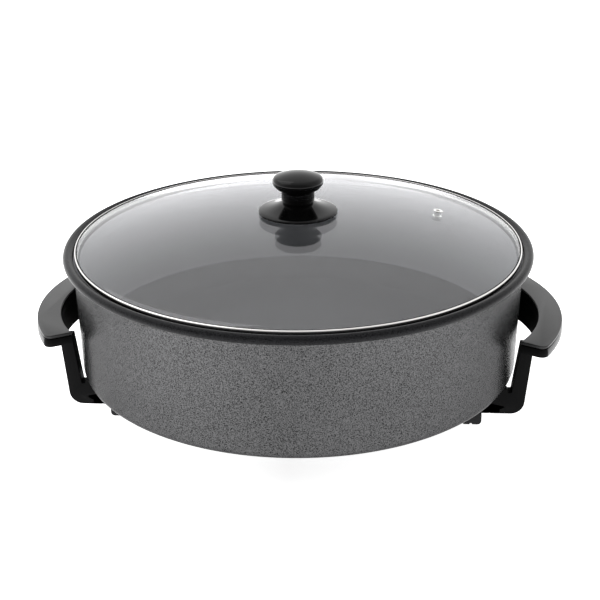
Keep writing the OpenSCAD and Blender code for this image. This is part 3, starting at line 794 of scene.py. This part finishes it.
def heatGuard():
    low, high = grip["guardZ"], grip["guardTop"]
    inner, outer = grip["guardIn"], grip["guardIn"] + grip["guardThick"]
    section = rounded([(inner, low, 1.2), (outer, low, 1.2), (outer, high, 0.4),
                       (inner, high, 0.4)], closed=True, steps=4)
    swing = math.asin(grip["guardY"] / ((inner + outer) / 2))
    centre = grip["innerX"] - grip["innerRadius"]
    points, faces, count, turns = [], [], len(section), grip["guardTurns"]
    for k in range(turns + 1):
        a = -swing + 2 * swing * k / turns
        near = min(1, max(0, (-a / swing - 0.1) / 0.5))
        lift = grip["guardRise"] * near * near * (3 - 2 * near)  # cut back above the front leg
        points += [(centre + r * math.cos(a), r * math.sin(a),
                    z + lift * (high - z) / (high - low)) for r, z in section]
    for k in range(turns):
        s, t = k * count, (k + 1) * count
        faces += [(s + i, s + (i + 1) % count, t + (i + 1) % count, t + i) for i in range(count)]
    faces += [tuple(range(count)), tuple(range((turns + 1) * count - 1, turns * count - 1, -1))]
    return fixNormals(newPiece("guard", points, (), faces, "gripPlastic"))


def gripBody():
    whole = shade(joined("right_body", [gripShell(), heatGuard()]), 30)
    for finish in ("shadePlastic", "legPlastic"):
        whole.data.materials.append(finishes[finish])
    for face in whole.data.polygons:  # outer side 0; inner side, guard and all below shadeZ 1, near black as painted shade; ends 2
        x, y, z = face.center / mm
        isOuter = face.normal.x > -0.15 and face.normal.z > -0.6 and math.hypot(
            x - grip["outerX"] + grip["outerRadius"], y) > grip["outerRadius"] - grip["sideWide"]
        isEnd = abs(face.normal.y) > 0.6 and abs(y) > grip["endY"]
        face.material_index = 1 if z < grip["shadeZ"] else 2 if isEnd else 0 if isOuter else 1
    return whole


rightCover, rightBody = gripCover(), gripBody()
for piece, node, slot in ((rightCover, "grip_cover", "grip_plastic"),
                          (rightBody, "grip_body", "leg_plastic")):
    other = mirrored(piece, piece.name.replace("right", "left"), x=-1)
    hand(piece, "pan", slot, "right_" + node)
    hand(other, "pan", slot, "left_" + node)
print("grips made")

# Legs: a bent bar that carries the pan below and the grip above
leg = {"inY": 54, "outY": 66, "inFoot": 192.2, "inTop": 197.6, "outFoot": 203.2, "outTop": 208.3,
       "top": 78.1, "tab": 5, "tabOut": 220, "barIn": 128, "barFoot": 10.6, "heel": 12, "toe": 4,
       "panZ": 35.5, "wallFoot": 199.8, "wallTop": 201.4, "wallHigh": 120, "slitFoot": 31.5,
       "slitWide": 3, "slitEdge": 4.4, "pocketRadius": 6, "pocketFoot": 5, "pocketTop": 19,
       "bevel": 0.5, "stud": 2.5}
leg["studX"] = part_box("leg_studs")[1].x / mm - leg["stud"]
pad = {"top": 11, "end": 3.5, "topEnd": 1.0, "grooves": (0.27, 0.5, 0.73), "grooveFoot": 1.2,
       "grooveTop": 0.8, "grooveHigh": 1.2, "grooveRound": 0.3, "bevel": 0.9}


def oneLeg():
    outline = rounded([
        (leg["barIn"], leg["barFoot"], leg["toe"]), (leg["outFoot"], leg["barFoot"], leg["heel"]),
        (leg["outTop"], leg["top"] - leg["tab"], 2), (leg["tabOut"], leg["top"] - leg["tab"], 1.5),
        (leg["tabOut"], leg["top"], 1), (leg["inTop"], leg["top"], 1),
        (leg["inFoot"], leg["slitFoot"], 0.6),
        (leg["inFoot"] - leg["slitWide"], leg["slitFoot"], 0.6),
        (leg["inFoot"] - leg["slitEdge"], leg["panZ"], 0.6), (leg["barIn"], leg["panZ"], 2)],
        closed=True, steps=6)
    piece = prism("right_rear_bracket", outline, leg["inY"], leg["outY"], "legPlastic",
                  leg["bevel"])
    wall = turned("wall", [(0, leg["panZ"]), (leg["wallFoot"], leg["panZ"]),
                           (leg["wallTop"], leg["wallHigh"]), (0, leg["wallHigh"])], 256,
                  "legPlastic")
    pocket = turned("pocket", [(0, leg["pocketFoot"]), (leg["pocketRadius"], leg["pocketFoot"]),
                               (leg["pocketRadius"], leg["pocketTop"]),
                               (0, leg["pocketTop"])], 48, "legPlastic")
    pocket.data.transform(Matrix.Translation((leg["studX"] * mm, legY * mm, 0)))
    return shade(cut(piece, wall, pocket), 30)


def onePad():  # rubber block with grooves across its sole
    low, high = (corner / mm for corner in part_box("right_rear_pad"))
    corners = [(low.x, 0, pad["end"])]
    for groove in pad["grooves"]:
        x = low.x + (high.x - low.x) * groove
        corners += [(x + across, z, pad["grooveRound"]) for across, z in (
            (-pad["grooveFoot"], 0), (-pad["grooveTop"], pad["grooveHigh"]),
            (pad["grooveTop"], pad["grooveHigh"]), (pad["grooveFoot"], 0))]
    corners += [(high.x, 0, pad["end"]), (high.x, pad["top"], pad["topEnd"]),
                (low.x, pad["top"], pad["topEnd"])]
    outline = rounded(corners, closed=True, steps=5)
    return shade(prism("right_rear_foot", outline, low.y, high.y, "padRubber", pad["bevel"]), 30)


for piece, node, slot in ((oneLeg(), "leg", "leg_plastic"), (onePad(), "pad", "pad_rubber")):
    for sideX, nameX in ((-1, "left"), (1, "right")):
        for sideY, nameY in ((-1, "front"), (1, "rear")):
            spot = nameX + "_" + nameY
            label = piece.name.replace("right_rear", spot)
            copy = piece if spot == "right_rear" else mirrored(piece, label, sideX, sideY)
            hand(copy, "pan", slot, spot + "_" + node)
print("legs made")

# Screws and nuts, each set from one shape
fixings = {"gripHead": 3.6, "gripHeadHigh": 2.4, "gripShank": 2.0, "gripLong": 9.7,
           "gripScrewZ": 73.1, "coverHead": 2.8, "coverHeadHigh": 2.0, "coverShank": 1.5,
           "coverLong": 4.7, "coverScrewX": 227.5, "coverScrewY": 32, "nutCorner": 4.6,
           "nutHigh": 4, "nutBore": 2.5, "smallNut": 3.1, "smallNutHigh": 2.4,
           "smallNutBore": 1.5, "headRound": 0.45, "crossLong": 0.62, "crossHalf": 0.45}


def screwShape(shank, head, high, length):
    crown = high * fixings["headRound"]
    end, half = head * fixings["crossLong"], fixings["crossHalf"]
    outline = rounded([(0, -high), (head, -high, crown), (head, 0, 0.15), (shank, 0),
                       (shank, length), (0, length)], steps=5)
    piece = turned("screwShape", outline, 48, "platedSteel")
    arms = []
    for turn in (0, 90):
        box = [(-end, -half), (end, -half), (end, half), (-end, half)]
        arm = prism("arm", box, -high - 1, -crown, "platedSteel", axis="Z")
        arm.data.transform(Matrix.Rotation(math.radians(turn), 4, "Z"))
        arms.append(arm)
    return cut(piece, *arms)


def nutShape(corner, high, bore):
    inner = bore * 1.13  # its six corners clear the round stud
    outline = rounded([(inner, 0), (corner - 0.5, 0), (corner, 0.35), (corner, high - 0.35),
                       (corner - 0.5, high), (inner, high)], closed=True)
    return turned("nutShape", outline, 6, "platedSteel", closed=True, angle=20)


def fourPlaces(x, y, z):
    return [(sx * x, sy * y, z) for sx in (1, -1) for sy in (1, -1)]


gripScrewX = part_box("grip_screws")[1].x / mm - fixings["gripHead"]
nutLow, nutHigh = (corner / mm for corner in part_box("inlet_nuts"))
inletX = (nutLow.x + nutHigh.x) / 2
inletY = nutHigh.y - fixings["smallNut"] * math.sin(math.radians(60))
fixingSets = [
    ("grip_fixing_screws", "grip_screws", 0.4,
     screwShape(fixings["gripShank"], fixings["gripHead"], fixings["gripHeadHigh"],
                fixings["gripLong"]),
     fourPlaces(gripScrewX, legY, fixings["gripScrewZ"])),
    ("cover_fixing_screws", "cover_screws", 1.1,
     screwShape(fixings["coverShank"], fixings["coverHead"], fixings["coverHeadHigh"],
                fixings["coverLong"]),
     fourPlaces(fixings["coverScrewX"], fixings["coverScrewY"], grip["plate"])),
    ("leg_fixing_nuts", "leg_nuts", 0.3,
     nutShape(fixings["nutCorner"], fixings["nutHigh"], fixings["nutBore"]),
     fourPlaces(leg["studX"], legY, leg["pocketTop"] - fixings["nutHigh"])),
    ("inlet_fixing_nuts", "inlet_nuts", 0,
     nutShape(fixings["smallNut"], fixings["smallNutHigh"], fixings["smallNutBore"]),
     [(inletX, inletY, nutLow.z), (inletX, -inletY, nutLow.z)]),
]
for name, node, turn, shape, places in fixingSets:
    hand(repeated(name, shape, places, (0, 0, turn), "platedSteel"), "pan", "plated_steel", node)
print("screws and nuts placed")

# Heating element under the pan, with its ceramic beads and contact pins
element = {"ring": 118, "tube": 4, "z": 28.5, "bend": 14, "lead": 20, "beadX": 148, "bead": 5.5,
           "beadLong": 8, "pin": 2.4, "pinLong": 26, "sides": 24}


def elementPath():
    bendA = math.asin((element["lead"] + element["bend"]) / (element["ring"] + element["bend"]))
    bendX = (element["ring"] + element["bend"]) * math.cos(bendA)
    bendTurn = math.degrees(bendA)
    ringPart = arcPoints((0, 0), element["ring"], bendTurn, 360 - bendTurn, 160)
    bendPart = arcPoints((bendX, element["lead"] + element["bend"]), element["bend"],
                         -90, -180 + bendTurn, 10)
    start = [(element["beadX"] + 2, element["lead"])] + bendPart
    return start + ringPart[1:-1] + [(x, -y) for x, y in reversed(start)]


path = elementPath()
elementPiece = newPiece("heater_tube", [(x, y, element["z"]) for x, y in path],
                        [(i, i + 1) for i in range(len(path) - 1)])
grown(elementPiece, "tube", {"Radius": element["tube"] * mm, "Sides": element["sides"],
                             "Finish": finishes["elementSheath"]})
fixNormals(elementPiece)
shade(elementPiece, 40)
hand(elementPiece, "pan", "element_sheath", "heating_element")
leads = [(element["beadX"], side * element["lead"], element["z"]) for side in (1, -1)]
beadEnd = element["beadLong"]
bead = turned("beadShape", rounded([
    (0, 0), (element["tube"] + 0.3, 0, 0.3), (element["bead"], 1.4, 0.6),
    (element["bead"], beadEnd - 1.2, 0.6), (element["tube"] - 0.8, beadEnd, 0.4),
    (0, beadEnd)]), 48, "beadCeramic")
beads = repeated("ceramic_beads", bead, leads, (0, math.pi / 2, 0), "beadCeramic")
hand(beads, "pan", "bead_ceramic", "element_beads")
pinEnd = beadEnd + element["pinLong"]
pin = turned("pinShape", rounded([
    (0, beadEnd), (element["pin"], beadEnd), (element["pin"], pinEnd - 3, 1.5),
    (element["pin"] * 0.5, pinEnd, 0.8), (0, pinEnd)]), 48, "platedSteel")
pins = repeated("inlet_pins", pin, leads, (0, math.pi / 2, 0), "platedSteel")
hand(pins, "pan", "plated_steel", "contact_pins")
print("heating element made")

# Parts carried over as they are, each with its finish
carried = {
    "heat_spreader": ("castAluminium", "cast_aluminium"),
    "probe_sleeve": ("castAluminium", "cast_aluminium"),
    "inlet_shroud": ("sheetSteel", "sheet_steel"),
    "earth_clip": ("contactBrass", "contact_brass"),
    "inlet_studs": ("platedSteel", "plated_steel"),
    "leg_studs": ("platedSteel", "plated_steel"),
    "knob_insert": ("contactBrass", "contact_brass"),
    "knob_screw": ("brightSteel", "bright_steel"),
    "knob_washer": ("brightSteel", "bright_steel"),
    "upper_knob_gasket": ("gasketRubber", "gasket_rubber"),
    "lower_knob_gasket": ("gasketRubber", "gasket_rubber"),
}
for node, (finish, slot) in carried.items():
    part = cadNodes[node]
    part.data.materials.clear()
    part.data.materials.append(finishes[finish])
print("carried parts finished:", len(carried))

# Studio: pale floor, soft light and the camera; metres here
studio = {"floorHalf": 6.0, "paper": (0.9, 0.92), "glow": 1.5, "glowLeft": 1.0,
          "glowMiddle": 0.5, "glowRight": 0.78, "glowWide": 0.8, "skyTop": 1.05,
          "skyLeft": 1.35, "skyRight": 1.0, "skyLow": 0.3, "frontShade": 0.6, "boxPower": 6.0,
          "boxSize": 1.6, "boxAt": (-0.9, 0.3, 1.5), "boxAim": (0, 0, 0.1)}
view = {"at": (0.0653, -1.0232, 0.5325), "toward": (-0.0573, 0.9159, -0.3974), "roll": -0.33,
        "lens": 72.6, "sensor": 36.0}
half = studio["floorHalf"] / mm
floor = newPiece("floor", [(-half, -half, 0), (half, -half, 0), (half, half, 0), (-half, half, 0)],
                 (), [(0, 1, 2, 3)])
floorMaterial, floorGraph = newMaterial("floorPaper")
floorMottle = noise(floorGraph, objectPlace(floorGraph), 3, 2)
across = floorGraph.node("ShaderNodeSeparateXYZ", {}, {0: objectPlace(floorGraph)}).out("X")
glow = floorGraph.node("ShaderNodeValToRGB", {"stops": [
    (0.0, grey(studio["glowLeft"])), (0.15, grey(studio["glowLeft"])),
    (0.5, grey(studio["glowMiddle"])), (0.85, grey(studio["glowRight"])),
    (1.0, grey(studio["glowRight"]))]}, {"Fac": across / studio["glowWide"] + 0.5})
close(floorGraph, floorGraph.node("ShaderNodeBsdfPrincipled", {}, {
    "Base Color": tones(floorGraph, floorMottle, *studio["paper"]), "Roughness": 0.8,
    "Specular IOR Level": 0.1, "Emission Color": glow, "Emission Strength": studio["glow"]}))
floor.data.materials.append(floorMaterial)

world = bpy.data.worlds.new("studio")
bpy.context.scene.world = world
world.use_nodes = True
world.node_tree.nodes.clear()
sky = Graph(world.node_tree)
way = sky.node("ShaderNodeSeparateXYZ", {}, {0: sky.node("ShaderNodeTexCoord").out("Generated")})
sideways, depth, upward = way.out("X"), way.out("Y"), way.out("Z")
leftward = 1 - (sideways * 0.5 + 0.5)
level = (studio["skyRight"] + leftward * (studio["skyLeft"] - studio["skyRight"])
         + (1 - upward.step(0.15, 0.6)) * studio["skyLow"]
         + upward.step(0.3, 0.9) * (studio["skyTop"] - 1))
level = level * (1 - (depth * -1).step(0.1, 0.8) * studio["frontShade"])
sky.node("ShaderNodeOutputWorld", {}, {
    "Surface": sky.node("ShaderNodeBackground", {}, {"Color": (1, 1, 1, 1), "Strength": level})})

lamp = bpy.data.lights.new("softbox", "AREA")
lamp.shape, lamp.size, lamp.size_y = "RECTANGLE", studio["boxSize"], studio["boxSize"] * 0.7
lamp.energy = studio["boxPower"]
lampObject = bpy.data.objects.new("softbox", lamp)
bpy.context.scene.collection.objects.link(lampObject)
lampObject.location = studio["boxAt"]
boxWay = Vector(studio["boxAim"]) - lampObject.location
lampObject.rotation_euler = boxWay.to_track_quat("-Z", "Y").to_euler()

cameraData = bpy.data.cameras.new("camera")
cameraData.lens, cameraData.sensor_width = view["lens"], view["sensor"]
camera = bpy.data.objects.new("camera", cameraData)
bpy.context.scene.collection.objects.link(camera)
camera.location = view["at"]
aim = Vector(view["toward"]).to_track_quat("-Z", "Y")
camera.rotation_mode = "QUATERNION"
camera.rotation_quaternion = aim @ Quaternion((0, 0, 1), math.radians(view["roll"]))
bpy.context.scene.camera = camera
bpy.context.scene.view_settings.view_transform = "Standard"
print("studio ready")

bpy.context.view_layer.update()
